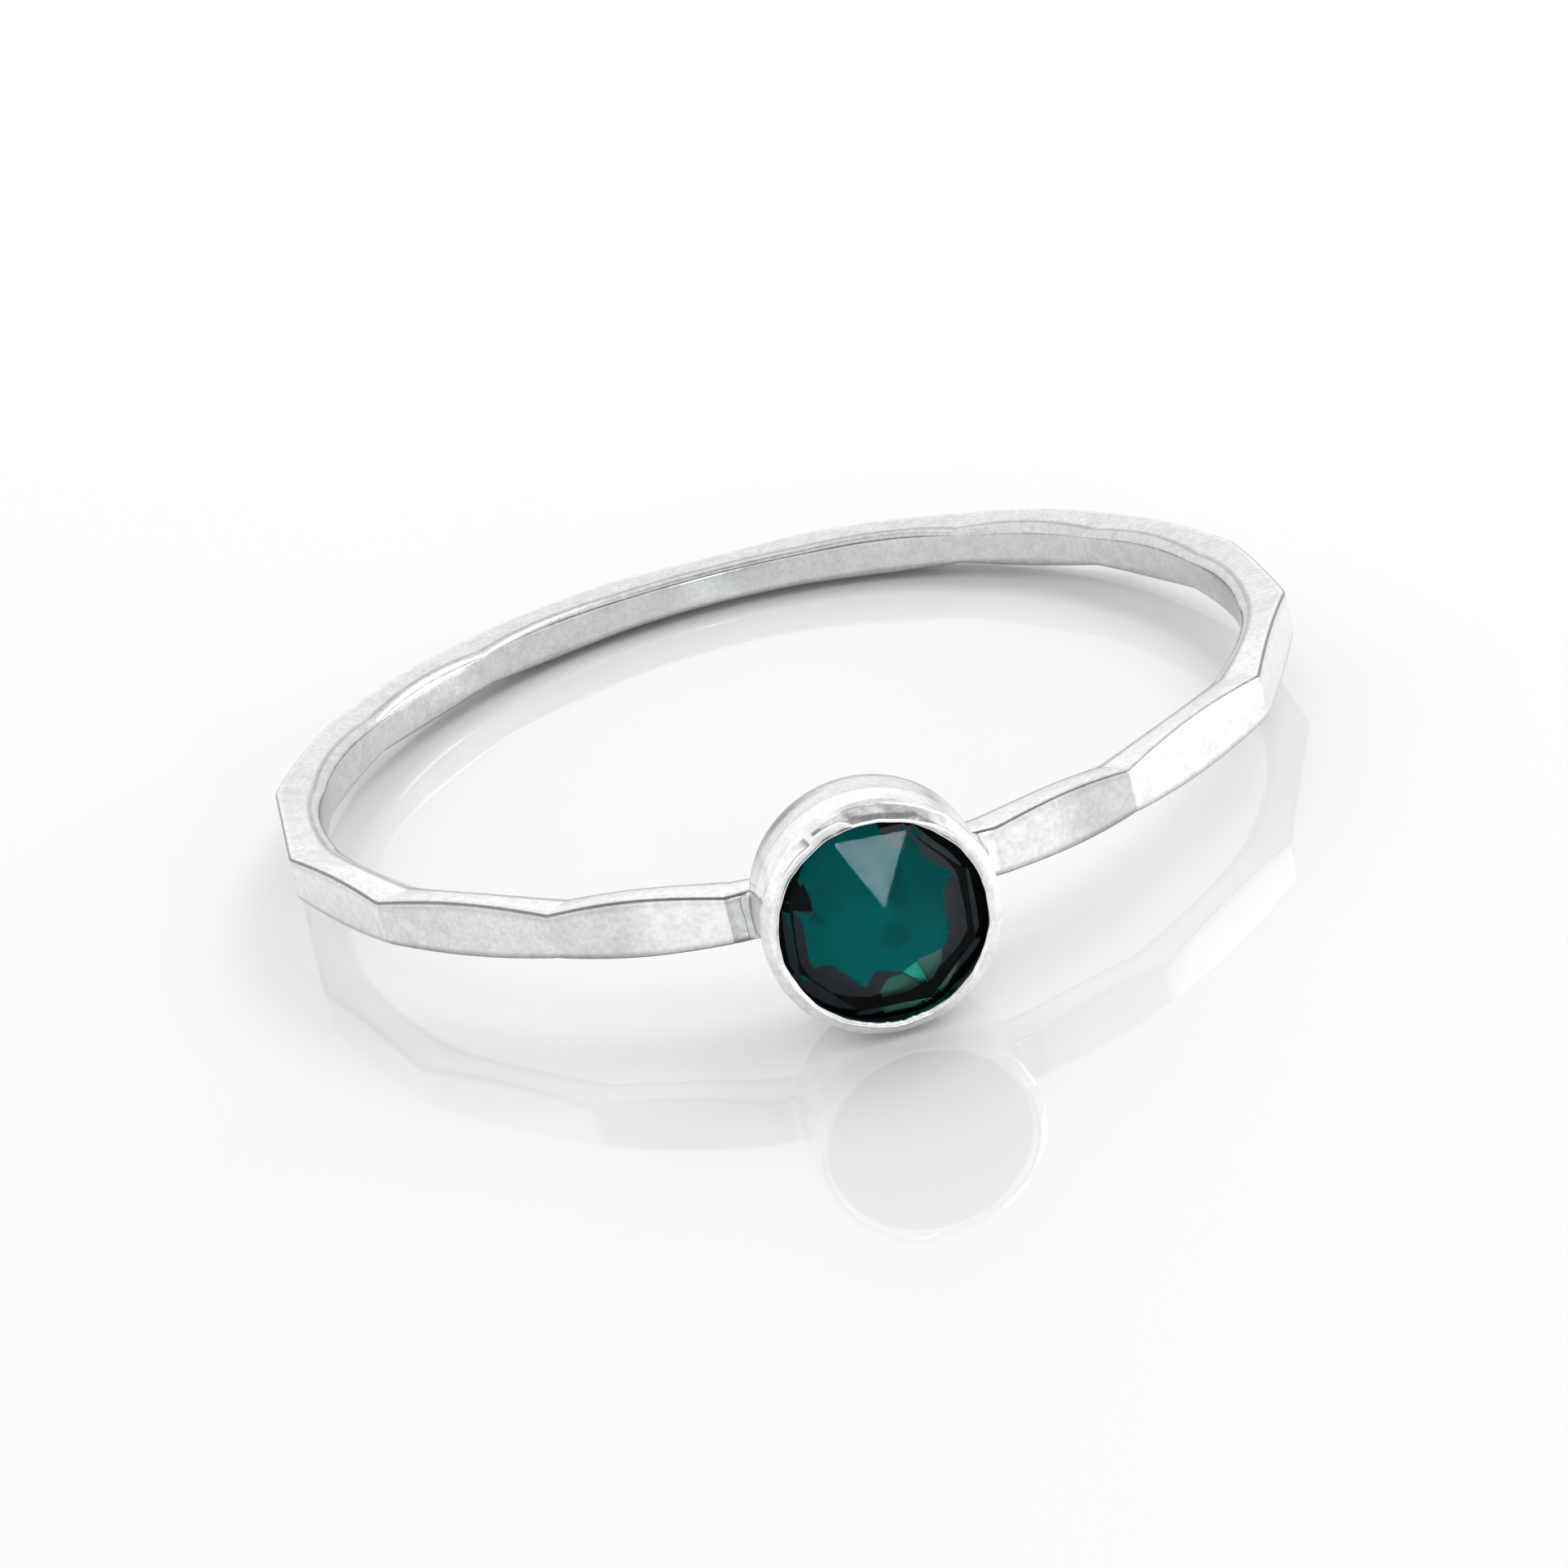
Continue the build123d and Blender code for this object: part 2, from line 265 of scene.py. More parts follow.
def grid_faces(rows, columns):
    """Quads of a rows x columns grid of points that closes on itself both ways."""
    faces = []
    for i in range(rows):
        for j in range(columns):
            k = (i + 1) % rows
            m = (j + 1) % columns
            faces.append((i * columns + j, k * columns + j, k * columns + m, i * columns + m))
    return faces


def facet_planes():
    """Normal's angle and distance from the bore's axis for each facet, with its lean and crown."""
    planes = []
    for ridge, after in zip(RIDGES, RIDGES[1:] + RIDGES[:1]):
        a, b = radians(ridge.angle), radians(after.angle)
        p = np.array([ridge.radius * sin(a), -ridge.radius * cos(a)])
        q = np.array([after.radius * sin(b), -after.radius * cos(b)])
        edge = q - p
        normal = np.array([edge[1], -edge[0]]) / np.linalg.norm(edge)
        planes.append((atan2(normal[0], -normal[1]), float(normal @ p), ridge.lean, ridge.crown))
    return planes


PLANES = facet_planes()


def outer_radius(angle, z):
    """Radius of the hammered face: the nearest facet's plane, blended a little at the ridges."""
    total = np.zeros_like(z)
    for normal_angle, distance, lean, crown in PLANES:
        turn = np.cos(angle - normal_angle)
        reach = (distance + lean * z - crown * z * z) / np.maximum(turn, FACET_REACH)
        reach = np.where(turn > FACET_REACH, reach, OUT_OF_REACH)
        total += np.exp(-RIDGE_SHARPNESS * (reach - NEAR_FACE_R))
    return NEAR_FACE_R - np.log(total) / RIDGE_SHARPNESS


def band_columns(per_facet=40):
    """Angles round the band, closer together at the ridges, with how far along its facet each is."""
    angles, along, facet = [], [], []
    for i, (ridge, after) in enumerate(zip(RIDGES, RIDGES[1:] + RIDGES[:1])):
        span = (after.angle - ridge.angle) % 360
        for step in range(per_facet):
            t = step / per_facet
            t -= RIDGE_CROWDING * sin(2 * pi * t) / (2 * pi)
            angles.append(radians(ridge.angle + span * t))
            along.append(t)
            facet.append(i)
    return np.array(angles), np.array(along), np.array(facet)


def half_heights(along, facet):
    """Half the band's height at each angle: least at the ridges, most halfway along each facet."""
    low = np.array([
        RIDGES[i].half_width * (1 - t) + RIDGES[(i + 1) % len(RIDGES)].half_width * t
        for i, t in zip(facet, along)
    ])
    mid = np.array([RIDGES[i].mid_half_width for i in facet])
    return low + (mid - low) * np.sin(pi * along) ** SWELL_POWER


def facet_painted_shade(along, facet):
    """How far painted shade darkens the face at each angle: it goes from the facet's near value to its far
    one.
    """
    near = np.array([RIDGES[i].dull for i in facet])
    far = np.array([RIDGES[i].dull_far for i in facet])
    share = np.clip((along - SHADE_CHANGE_START) * SHADE_CHANGE_RATE, 0, 1)
    return near + (far - near) * share * share * (3 - 2 * share)


def rising(share, start, dull):
    """A painted shade that rises from 0 at start to the given amount at 1."""
    return dull * max(0.0, share - start) / (1 - start)


def face_rows(angles, half, facet_shade, side):
    """Rows of the profile from the middle of the face to near its edge: radius, height and painted shade.
    """
    flat = half - EDGE_R
    start, dull = (TOP_LINE_START, TOP_LINE_PAINTED_SHADE) if side > 0 else (LOW_LINE_START, LOW_EDGE_PAINTED_SHADE)
    return [
        (outer_radius(angles, side * flat * s), flat * s, facet_shade + rising(s, start, dull))
        for s in np.linspace(0, 1, 11)[:-1]
    ]


def edge_rows(corner, half, facet_shade, side):
    """Rows round the edge between the face and the band's side, with a painted dark line along it. corner
    is the face's radius there.
    """
    least = 0.0 if side > 0 else LOW_EDGE_PAINTED_SHADE
    rows = []
    for s in np.linspace(0, 1, 8):
        turn = s * pi / 2
        shaded = facet_shade + np.maximum(least, (EDGE_PAINTED_SHADE - facet_shade) * sin(pi * s))
        rows.append((corner - EDGE_R * (1 - cos(turn)), half - EDGE_R + EDGE_R * sin(turn), shaded))
    return rows


def side_rows(angles, corner, half):
    """Rows across the band's side, from the edge to the lip at the bore."""
    start, lip = corner - EDGE_R, BORE_R + BORE_LIP
    side_shade = np.interp(np.degrees(angles), *zip(*SIDE_PAINTED_SHADES))
    rows = []
    for s in np.linspace(0, 1, 8)[1:]:
        height = half - SIDE_DROP * s + SIDE_SAG * sin(pi * s)
        shaded = np.maximum(side_shade, SIDE_LINE_PAINTED_SHADE * (1 - s / SIDE_LINE_END))
        rows.append((start + (lip - start) * s, height, LIP_PAINTED_SHADE if s == 1 else shaded))
    return rows


def bore_rows(half):
    """Rows round the lip and down the bore's straight wall to near its middle."""
    lip, rise = BORE_R + BORE_LIP, half - SIDE_DROP - BORE_STRAIGHT_HALF
    rows = []
    for s in np.linspace(0, 1, 11)[1:]:
        turn = s * pi / 2
        dull = BORE_PAINTED_SHADE if s > LIP_SHADE_END else LIP_PAINTED_SHADE
        rows.append((lip - BORE_LIP * sin(turn), BORE_STRAIGHT_HALF + rise * cos(turn), dull))
    for s in BORE_ROWS:
        rows.append((BORE_R, BORE_STRAIGHT_HALF * s, BORE_PAINTED_SHADE))
    return rows


def band_half(angles, half, facet_shade, side):
    """The band's profile from the middle of the outer face to near the middle of the bore, for the upper
    (side 1) or lower (side -1) half: radius, z and painted shade, with a row for each angle."""
    corner = outer_radius(angles, side * (half - EDGE_R))
    rows = face_rows(angles, half, facet_shade, side) + edge_rows(corner, half, facet_shade, side)
    rows += side_rows(angles, corner, half) + bore_rows(half)
    radius, height, dull = (np.array([row[k] + 0 * half for row in rows]).T for k in range(3))
    return radius, side * height, dull


def make_band():
    """The hammered hoop, as a mesh that closes on itself round the hoop and round its profile."""
    angles, along, facet = band_columns()
    half = half_heights(along, facet)
    # painted shade that sets each facet's grey tone
    facet_shade = facet_painted_shade(along, facet)
    up_r, up_z, up_shade = band_half(angles, half, facet_shade, 1)
    down_r, down_z, down_shade = band_half(angles, half, facet_shade, -1)
    bore = np.full((len(angles), 1), BORE_R)
    radius = np.hstack([up_r, bore, down_r[:, :0:-1]])
    height = np.hstack([up_z, np.zeros_like(bore), down_z[:, :0:-1]])
    dull = np.hstack([up_shade, np.full_like(bore, BORE_PAINTED_SHADE), down_shade[:, :0:-1]])
    x = radius * np.sin(angles)[:, None]
    y = -radius * np.cos(angles)[:, None]
    points = np.stack([x, y, height], axis=-1).reshape(-1, 3)
    return add_mesh("band", points, grid_faces(len(angles), radius.shape[1]), dull)


def arc(centre_r, centre_d, size, start, end, steps, dull):
    """Radius, depth and painted shade of points on a round, with angles from outwards to the front."""
    return [
        (centre_r + size * cos(radians(a)), centre_d + size * sin(radians(a)), dull)
        for a in np.linspace(start, end, steps)
    ]


def from_top(angle):
    """An angle round the cup in degrees from the top, from -180 to 180."""
    return (degrees(angle) + 180) % 360 - 180


def fade(value, length):
    """A value as a share of length, kept between 0 and 1."""
    return min(1.0, max(0.0, value / length))


def bevel(angle):
    """The bevel at an angle round the cup, worked out between the table's rows."""
    place = from_top(angle)
    places, *columns = zip(*BEVELS)
    return Bevel(place, *(float(np.interp(place, places, column)) for column in columns))


def wall_painted_shade(angle, depth):
    """How far painted shade darkens the cup's wall: dark along its back edge, with the painted streak
    beside that, and a little darker behind the faint line than in front of it."""
    plain = BACK_WALL_PAINTED_SHADE if depth < LINE_DEPTH else 0.0
    if abs(depth - LINE_DEPTH) < LINE_HALF:
        plain = LINE_PAINTED_SHADE
    seam = plain + (SEAM_PAINTED_SHADE - plain) * fade(CUP_BACK + SEAM_WIDTH - depth, SEAM_FADE)
    across = (from_top(angle) - SHADE_STREAK_ANGLE) / SHADE_STREAK_SPREAD
    along = (depth - SHADE_STREAK_DEPTH) / SHADE_STREAK_WIDTH
    return min(1.0, seam + STREAK_PAINTED_SHADE * exp(-across ** 2 - along ** 2))


def wall_points(angle, front, shoulder_dull):
    """The cup's back and its wall, up to the shoulder, which begins at the depth front."""
    points = [(r, CUP_BACK, BACK_PAINTED_SHADE) for r in BACK_RINGS]
    edge_r, edge_depth = CUP_BACK_R - BACK_EDGE_R, CUP_BACK + BACK_EDGE_R
    points += arc(edge_r, edge_depth, BACK_EDGE_R, -90, 0, 5, wall_painted_shade(angle, CUP_BACK))
    taper = (CUP_R - CUP_BACK_R) / (front - CUP_BACK)
    depths = [*np.linspace(CUP_BACK + 2 * BACK_EDGE_R, WALL_END, WALL_RINGS), front - SHOULDER_GAP]
    for depth in depths:
        dull = shoulder_dull if depth > SHOULDER_SHADE_START else wall_painted_shade(angle, depth)
        points.append((CUP_BACK_R + taper * (depth - CUP_BACK), float(depth), dull))
    return points


def rim_points(slope, front):
    """The shoulder, the bevel and the rim's front, round the opening's edge to the rim's underside."""
    turn = radians(slope.turn)
    points = arc(CUP_R - SHOULDER_R, front, SHOULDER_R, 0, slope.turn, 8, slope.shoulder_dull)
    r, depth, _ = points[-1]
    for s in np.linspace(0, 1, 9)[1:]:
        way = slope.length * s
        points.append((r - way * sin(turn), depth + way * cos(turn), slope.dull))
    r, depth, _ = points[-1]
    edge_r, edge_depth = r - RIM_EDGE_R * cos(turn), depth - RIM_EDGE_R * sin(turn)
    points += arc(edge_r, edge_depth, RIM_EDGE_R, slope.turn, 90, 7, RIM_PAINTED_SHADE)[1:]
    points.append((RIM_R + INNER_EDGE[0], RIM_FRONT - INNER_EDGE[1], 0.0))
    edge_r, edge_depth = RIM_R + OPENING_EDGE_R, RIM_FRONT - OPENING_EDGE_BACK
    points += arc(edge_r, edge_depth, OPENING_EDGE_R, 80, 180, 6, OPENING_PAINTED_SHADE)
    return points + [(RIM_R + out, RIM_FRONT - back, dull) for out, back, dull in UNDER_RIM]


def cup_profile(angle):
    """The cup's outline at an angle round it, from the middle of its back, over the rim, to the middle of
    its seat: radius, depth and painted shade of each point."""
    slope = bevel(angle)
    turn = radians(slope.turn)
    rim = RIM_EDGE_R + (SHOULDER_R - RIM_EDGE_R) * sin(turn) + slope.length * cos(turn)
    front = RIM_FRONT - rim
    outline = wall_points(angle, front, slope.shoulder_dull) + rim_points(slope, front)
    return outline + [(r, depth, SEAT_PAINTED_SHADE) for r, depth in SEAT]


def burnish(angle, depth):
    """Small flats that the burnisher left on the cup's shoulder and rim, in mm."""
    total = 0.0
    for waves, slope, phase, size in BURNISH_WAVES:
        total += size * sin(waves * angle + slope * depth + phase)
    return fade(depth - BURNISH_START, BURNISH_FADE) * total


def nicks(angle):
    """How far the rim's inner edge stands in where the burnisher nicked it, in mm."""
    return sum(
        size * exp(-((degrees(angle) - place) / NICK_WIDTH) ** 2) for place, size in RIM_NICKS
    )


def cup_point(angle, r, depth):
    """A point of the cup, with the burnisher's flats and nicks, and with the opening below the axis."""
    uneven = r > BURNISH_INNER_R and depth > BURNISH_START
    opening = fade(OPENING_OUTER_R - r, OPENING_FADE) if depth > OPENING_DEPTH else 0.0
    reach = r + (burnish(angle, depth) if uneven else 0.0) - opening * nicks(angle)
    return (reach * sin(angle), -depth, reach * cos(angle) - opening * RIM_DOWN)


def join_rings(first, second, first_is_point, second_is_point, turns):
    """Faces between two rings of points, given by their first points. Either may be a single point."""
    faces = []
    for k in range(turns):
        m = (k + 1) % turns
        if first_is_point:
            faces.append((first, second + k, second + m))
        elif second_is_point:
            faces.append((first + m, first + k, second))
        else:
            faces.append((first + k, second + k, second + m, first + m))
    return faces


def make_cup(turns=480):
    """The bezel cup: its outline carried round the axis, and closed on the axis at both ends."""
    angles = [2 * pi * k / turns for k in range(turns)]
    profiles = [cup_profile(a) for a in angles]
    points, dull, starts, single = [], [], [], []
    for row, (r, depth, shaded) in enumerate(profiles[0]):
        starts.append(len(points))
        single.append(r == 0.0)
        if r == 0.0:
            points.append((0.0, -depth, 0.0))
            dull.append(shaded)
            continue
        for a, profile in zip(angles, profiles):
            points.append(cup_point(a, *profile[row][:2]))
            dull.append(profile[row][2])
    faces = []
    for i in range(len(starts) - 1):
        faces += join_rings(starts[i], starts[i + 1], single[i], single[i + 1], turns)
    return add_mesh("cup", points, faces, dull)


def solder_row(side, z):
    """Points of the fillet at one height: its hollow face, from the band's face in to the cup's wall, and
    last a point sunk in the joint."""
    swell = sqrt(max(0.0, 1 - (z / SOLDER_HALF) ** SOLDER_SQUARENESS))
    leg = SOLDER_LEG * (SOLDER_END_LEG + (1 - SOLDER_END_LEG) * swell)
    leg *= 1 + SOLDER_WAVE * sin(SOLDER_WAVES * z + side)
    wall = sqrt(CUP_BACK_R ** 2 - z ** 2)
    points = []
    for step in range(SOLDER_STEPS):
        turn = step / (SOLDER_STEPS - 1) * pi / 2
        points.append((side * (wall + leg * (1 - sin(turn))), -(FACE_DEPTH + leg * (1 - cos(turn))), z))
    points.append((side * (wall - SOLDER_SINK), -(FACE_DEPTH - SOLDER_SINK), z))
    return points


def make_solder():
    """The solder's hollow fillet, up the band's face on each side of the cup, in one mesh. Each side is a
    closed strip of quads between its lowest row and its last one, with a face over both ends."""
    points, faces = [], []
    columns = SOLDER_STEPS + 1
    last = (SOLDER_ROWS - 1) * columns
    for side in (-1, 1):
        start = len(points)
        for row in range(SOLDER_ROWS):
            points += solder_row(side, -SOLDER_HALF + 2 * SOLDER_HALF * row / (SOLDER_ROWS - 1))
        local = grid_faces(SOLDER_ROWS, columns)[:last]
        local += [tuple(range(columns)), tuple(last + k for k in reversed(range(columns)))]
        faces += [tuple(start + k for k in face) for face in local]
    return add_mesh("solder", points, faces, [SOLDER_PAINTED_SHADE] * len(points))


def crown_corner(number):
    """A corner of the octagon round the crown, counted from the top towards +X."""
    turn = radians(CROWN_TURN + number * 360 / CROWN_SIDES)
    return Vector((CROWN_CORNER_R * sin(turn), -CROWN_EDGE, CROWN_CORNER_R * cos(turn) - CROWN_DOWN))


def turned_blank(bm, turns=192):
    """A plain cylinder along the stone's axis, a little longer than the stone at both ends."""
    angles = [2 * pi * k / turns for k in range(turns)]
    rings = []
    for depth in (STONE_BACK - BLANK_MARGIN, -CROWN_APEX.y + BLANK_MARGIN):
        rings.append([bm.verts.new((STONE_R * sin(a), -depth, STONE_R * cos(a))) for a in angles])
    for k in range(turns):
        m = (k + 1) % turns
        bm.faces.new((rings[0][k], rings[1][k], rings[1][m], rings[0][m]))
    bm.faces.new(rings[1])
    bm.faces.new(list(reversed(rings[0])))
    bmesh.ops.recalc_face_normals(bm, faces=bm.faces)


def grind(bm, first, second, third):
    """Cuts away what lies outside the plane through three points, and closes the cut."""
    inside = Vector((0, -GIRDLE_BACK, 0))
    normal = (second - first).cross(third - first).normalized()
    if normal.dot(first - inside) < 0:
        normal = -normal
    cut = bmesh.ops.bisect_plane(
        bm, geom=bm.verts[:] + bm.edges[:] + bm.faces[:], dist=GRIND_TOLERANCE,
        plane_co=first, plane_no=normal, clear_outer=True,
    )
    edges = [e for e in cut["geom_cut"] if isinstance(e, bmesh.types.BMEdge) and e.is_boundary]
    if edges:
        bmesh.ops.contextual_create(bm, geom=edges)


def grind_crown(bm):
    """The main facets, which meet at the apex, and the steep ones between them and the girdle."""
    for number in range(CROWN_SIDES):
        first, second = crown_corner(number), crown_corner(number + 1)
        outward = Vector((first.x + second.x, 0, first.z + second.z + 2 * CROWN_DOWN)).normalized()
        grind(bm, first, second, CROWN_APEX)
        grind(bm, first, second, outward * STONE_R + Vector((0, -GIRDLE_FRONT, 0)))


def grind_back(bm):
    """The facets of the tapered back, and the flat behind them."""
    for number in range(BACK_SIDES):
        a = 2 * pi * (number + 0.5) / BACK_SIDES
        out = Vector((sin(a), 0, cos(a)))
        along = Vector((cos(a), 0, -sin(a)))
        front = out * STONE_R + Vector((0, -GIRDLE_BACK, 0))
        back = out * STONE_BACK_R * cos(pi / BACK_SIDES) + Vector((0, -STONE_BACK, 0))
        grind(bm, front, front + along, back)
    back = Vector((0, -STONE_BACK, 0))
    grind(bm, back, back + Vector((1, 0, 0)), back + Vector((0, 0, 1)))


def inside_outline(x, z, outline):
    """Whether a point of the stone's flat back lies inside an outline."""
    crossings = 0
    for (x0, z0), (x1, z1) in zip(outline, outline[1:] + outline[:1]):
        if (z0 > z) != (z1 > z) and x < x0 + (z - z0) / (z1 - z0) * (x1 - x0):
            crossings += 1
    return crossings % 2 == 1


def back_finish(middle):
    """The material of the stone's flat back at a point."""
    finish = PAINTED_SHADOW
    for candidate, outline in FOIL_OUTLINES:
        if inside_outline(middle.x, middle.z, outline):
            finish = candidate
    return finish


def foil_the_back(bm):
    """Divides the flat back along the outlines of the foil, and gives each part its material."""
    flat = max(bm.faces, key=lambda face: (face.normal.y, face.calc_area()))
    rim = list(flat.verts)
    bm.faces.remove(flat)
    points = [(v.co.x, v.co.z) for v in rim]
    edges = [(k, (k + 1) % len(rim)) for k in range(len(rim))]
    for _, outline in FOIL_OUTLINES:
        start = len(points)
        points += outline
        edges += [(start + k, start + (k + 1) % len(outline)) for k in range(len(outline))]
    flat_points = [Vector(p) for p in points]
    made, _, triangles, source, _, _ = delaunay_2d_cdt(flat_points, edges, [], 1, OUTLINE_TOLERANCE)
    verts = []
    for co, ids in zip(made, source):
        on_rim = [i for i in ids if i < len(rim)]
        verts.append(rim[on_rim[0]] if on_rim else bm.verts.new((co.x, -STONE_BACK, co.y)))
    for triangle in triangles:
        face = bm.faces.new([verts[i] for i in triangle])
        face.material_index = back_finish(face.calc_center_median())


def make_stone():
    """A turned blank ground by flat facets, with its foil, its backing and a painted black shadow on the
    parts behind.
    """
    bm = bmesh.new()
    turned_blank(bm)
    grind_crown(bm)
    grind_back(bm)
    bmesh.ops.recalc_face_normals(bm, faces=bm.faces)
    for face in bm.faces:
        face.smooth = False
        # the girdle and the tapered back get the painted black shadow
        face.material_index = PAINTED_SHADOW if face.normal.y > FRONT_FACING else CRYSTAL
    foil_the_back(bm)
    bmesh.ops.recalc_face_normals(bm, faces=bm.faces)
    mesh = bpy.data.meshes.new("stone")
    bm.to_mesh(mesh)
    bm.free()
    mesh.transform(WORN_TO_ROW)
    obj = bpy.data.objects.new("stone_cut", mesh)
    bpy.context.scene.collection.objects.link(obj)
    return obj


# ---------------------------------------------------------------- materials

# Noise scales are in waves for each metre, and a range is its lowest and highest value.
NOISE_MIDDLE = (0.35, 0.65)  # most of what a noise texture gives lies between these
GRAIN_SCALE, CLOUD_SCALE = 11000.0, 3200.0
GRAIN_DEPTH, GRAIN_STRENGTH = 0.000006, 0.5  # metres, and share of it
SILVER_TONES = (0.97, 0.16)  # reflectance with no painted shade and with the most painted shade
SPECKLE_NOISE, SPECKLE_TONES = (0.36, 0.62), (0.89, 1.03)
PATCH_NOISE, PATCH_TONES = (0.38, 0.60), (0.93, 1.03)
SILVER_ROUGHNESS = (0.12, 0.22)
CRYSTAL_COLOUR = (0.75, 0.95, 0.94, 1)
CRYSTAL_IOR = 1.5
CRYSTAL_TINT = (0.12, 0.12, 0.12, 1)  # lowers the crown's reflection
BACKING_SPAN = (-0.0014, 0.0012)  # metres across the stone, from its left to its right
BACKING_MOTTLE_SCALE, BACKING_MOTTLE = 5000.0, 0.2
BACKING_ROUGHNESS, BACKING_GLOSS = 0.6, 0.1
FOIL_CLOUD_SCALE = 1500.0
FOIL_ROUGHNESS = 0.35


def material(name):
    """A new material with its surface shader: the material, its nodes and links, and the shader."""
    mat = bpy.data.materials.new(name)
    mat.use_nodes = True
    nodes, links = mat.node_tree.nodes, mat.node_tree.links
    nodes.clear()
    out = nodes.new("ShaderNodeOutputMaterial")
    bsdf = nodes.new("ShaderNodeBsdfPrincipled")
    links.new(bsdf.outputs["BSDF"], out.inputs["Surface"])
    return mat, nodes, links, bsdf


def noise(nodes, links, coords, scale, detail):
    """A noise texture in the object's own coordinates."""
    node = nodes.new("ShaderNodeTexNoise")
    node.inputs["Scale"].default_value = scale
    node.inputs["Detail"].default_value = detail
    links.new(coords.outputs["Object"], node.inputs["Vector"])
    return node.outputs["Fac"]


def map_range(nodes, links, source, given, wanted):
    """A value carried from one range to another, and kept within it."""
    node = nodes.new("ShaderNodeMapRange")
    for name, value in zip(("From Min", "From Max", "To Min", "To Max"), (*given, *wanted)):
        node.inputs[name].default_value = value
    links.new(source, node.inputs["Value"])
    return node.outputs["Result"]


def combine(nodes, links, kind, first, second):
    """Two values, each a number or another node's output, put together by a Math node."""
    node = nodes.new("ShaderNodeMath")
    node.operation = kind
    for socket, value in zip(node.inputs, (first, second)):
        if isinstance(value, float):
            socket.default_value = value
        else:
            links.new(value, socket)
    return node.outputs["Value"]


def colour_ramp(nodes, links, source, stops):
    """A colour that changes with a value. stops are pairs of a position and a colour."""
    node = nodes.new("ShaderNodeValToRGB")
    elements = node.color_ramp.elements
    while len(elements) < len(stops):
        elements.new(0.5)
    for element, (position, colour) in zip(elements, stops):
        element.position = position
        element.color = (*colour, 1)
    links.new(source, node.inputs["Fac"])
    return node.outputs["Color"]


def make_silver():
    """Silver with fine hammer grain, cloudy patches in its tone and roughness, and the painted shade and
    painted dark reflections that the meshes' attribute carries.
    """
    mat, nodes, links, bsdf = material("silver")
    bsdf.inputs["Metallic"].default_value = 1.0
    coords = nodes.new("ShaderNodeTexCoord")
    # the meshes' attribute: painted shade and painted dark reflections
    shaded = nodes.new("ShaderNodeAttribute")
    shaded.attribute_name = "dull"
    fine = noise(nodes, links, coords, GRAIN_SCALE, 4.0)
    cloud = noise(nodes, links, coords, CLOUD_SCALE, 3.0)
    grey = map_range(nodes, links, shaded.outputs["Fac"], (0.0, 1.0), SILVER_TONES)
    speckle = map_range(nodes, links, fine, SPECKLE_NOISE, SPECKLE_TONES)
    patches = map_range(nodes, links, cloud, PATCH_NOISE, PATCH_TONES)
    tone = combine(nodes, links, "MULTIPLY", grey, combine(nodes, links, "MULTIPLY", speckle, patches))
    bump = nodes.new("ShaderNodeBump")
    bump.inputs["Strength"].default_value = GRAIN_STRENGTH
    bump.inputs["Distance"].default_value = GRAIN_DEPTH
    links.new(fine, bump.inputs["Height"])
    links.new(tone, bsdf.inputs["Base Color"])
    links.new(map_range(nodes, links, cloud, NOISE_MIDDLE, SILVER_ROUGHNESS), bsdf.inputs["Roughness"])
    links.new(bump.outputs["Normal"], bsdf.inputs["Normal"])
    return mat


def make_crystal():
    """The clear glass of the stone's crown."""
    mat, _, _, bsdf = material("crystal")
    bsdf.inputs["Base Color"].default_value = CRYSTAL_COLOUR
    bsdf.inputs["Transmission Weight"].default_value = 1.0
    bsdf.inputs["Roughness"].default_value = 0.0
    bsdf.inputs["IOR"].default_value = CRYSTAL_IOR
    bsdf.inputs["Specular Tint"].default_value = CRYSTAL_TINT
    return mat


def make_backing(name, left, right):
    """Dull backing, whose colour changes from the stone's left to its right."""
    mat, nodes, links, bsdf = material(name)
    coords = nodes.new("ShaderNodeTexCoord")
    split = nodes.new("ShaderNodeSeparateXYZ")
    links.new(coords.outputs["Object"], split.inputs["Vector"])
    across = map_range(nodes, links, split.outputs["X"], BACKING_SPAN, (0.0, 1 - BACKING_MOTTLE))
    mottle = noise(nodes, links, coords, BACKING_MOTTLE_SCALE, 3.0)
    mottle = map_range(nodes, links, mottle, NOISE_MIDDLE, (0.0, BACKING_MOTTLE))
    share = combine(nodes, links, "ADD", across, mottle)
    links.new(colour_ramp(nodes, links, share, [(0.0, left), (1.0, right)]), bsdf.inputs["Base Color"])
    bsdf.inputs["Roughness"].default_value = BACKING_ROUGHNESS
    bsdf.inputs["Specular IOR Level"].default_value = BACKING_GLOSS
    return mat


def make_foil(name, low, high):
    """Coloured mirror foil whose tone wanders between two colours."""
    mat, nodes, links, bsdf = material(name)
    bsdf.inputs["Metallic"].default_value = 1.0
    bsdf.inputs["Roughness"].default_value = FOIL_ROUGHNESS
    cloud = noise(nodes, links, nodes.new("ShaderNodeTexCoord"), FOIL_CLOUD_SCALE, 3.0)
    stops = list(zip(NOISE_MIDDLE, (low, high)))
    links.new(colour_ramp(nodes, links, cloud, stops), bsdf.inputs["Base Color"])
    return mat


# ---------------------------------------------------------------- the pieces

